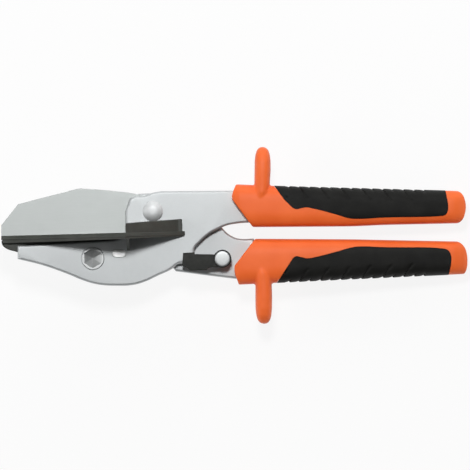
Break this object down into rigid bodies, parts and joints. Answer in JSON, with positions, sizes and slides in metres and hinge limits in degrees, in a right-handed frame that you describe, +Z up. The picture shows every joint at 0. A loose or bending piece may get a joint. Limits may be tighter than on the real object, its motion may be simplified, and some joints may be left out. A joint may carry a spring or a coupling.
{
  "type": "mitre shears",
  "caption": "Hand mitre shears: a straight blade closes on a kite-shaped table with fences, worked by two padded grips with guards and held shut by a latch.",
  "frame": {"origin": "centre of the tool's outline on the surface that it lies on, with the tool at rest on its rear side", "axes": "+X along the tool towards the grips, +Y towards the upper handle, +Z up; the pivot axis leans 7.9 degrees from +Z towards +X, because the tool rests on the rear corner of its table and on the ends of its grips"},
  "size_m": [0.259, 0.0988, 0.0735],
  "materials": {
    "plated_steel": "bright zinc or nickel plate, satin, with a fine mottle",
    "blade_steel": "ground steel, satin, with fine grinding lines",
    "spring_steel": "drawn spring wire",
    "fastener_steel": "bright plated fasteners",
    "anvil_plastic": "black moulded glass-filled plastic, fine grain",
    "latch_plastic": "black moulded plastic",
    "orange_plastic": "orange moulded plastic, satin gloss",
    "soft_black": "black soft-grip rubber, matt"
  },
  "bodies": {
    "frame": {"frame_plate": "plated_steel", "catch_pin": "fastener_steel", "spring_post_front": "fastener_steel", "anvil": "anvil_plastic", "anvil_key": "fastener_steel", "anvil_bolt": "fastener_steel", "anvil_washer": "fastener_steel", "anvil_nut": "fastener_steel", "fence_front": "anvil_plastic", "fence_back": "anvil_plastic", "fence_screw_1": "fastener_steel", "fence_screw_2": "fastener_steel", "fence_screw_3": "fastener_steel", "fence_screw_4": "fastener_steel", "pivot_bolt": "fastener_steel", "pivot_spacer": "fastener_steel", "pivot_washer": "fastener_steel", "pivot_nut": "fastener_steel", "upper_grip": "orange_plastic", "upper_grip_pad": "soft_black"},
    "blade_body": {"blade_arm": "plated_steel", "blade": "blade_steel", "blade_screw_1": "fastener_steel", "blade_screw_2": "fastener_steel", "spring_post_rear": "fastener_steel", "return_spring": "spring_steel", "latch_rivet": "fastener_steel", "latch_washer": "fastener_steel", "lower_grip": "orange_plastic", "lower_grip_pad": "soft_black"},
    "latch_body": {"latch": "latch_plastic"}
  },
  "joints": [
    {"name": "blade_open", "type": "hinge", "parent": "frame", "child": "blade_body", "pos_m": [-0.04579, 0.0136, 0.03506], "axis": [-0.1378, 0, -0.9905], "range_deg": [0, 36], "deforming": ["return_spring"]},
    {"name": "latch_turn", "type": "hinge", "parent": "blade_body", "child": "latch_body", "pos_m": [-0.00736, -0.013, 0.02972], "axis": [0.1378, 0, 0.9905], "range_deg": [0, 60]}
  ]
}
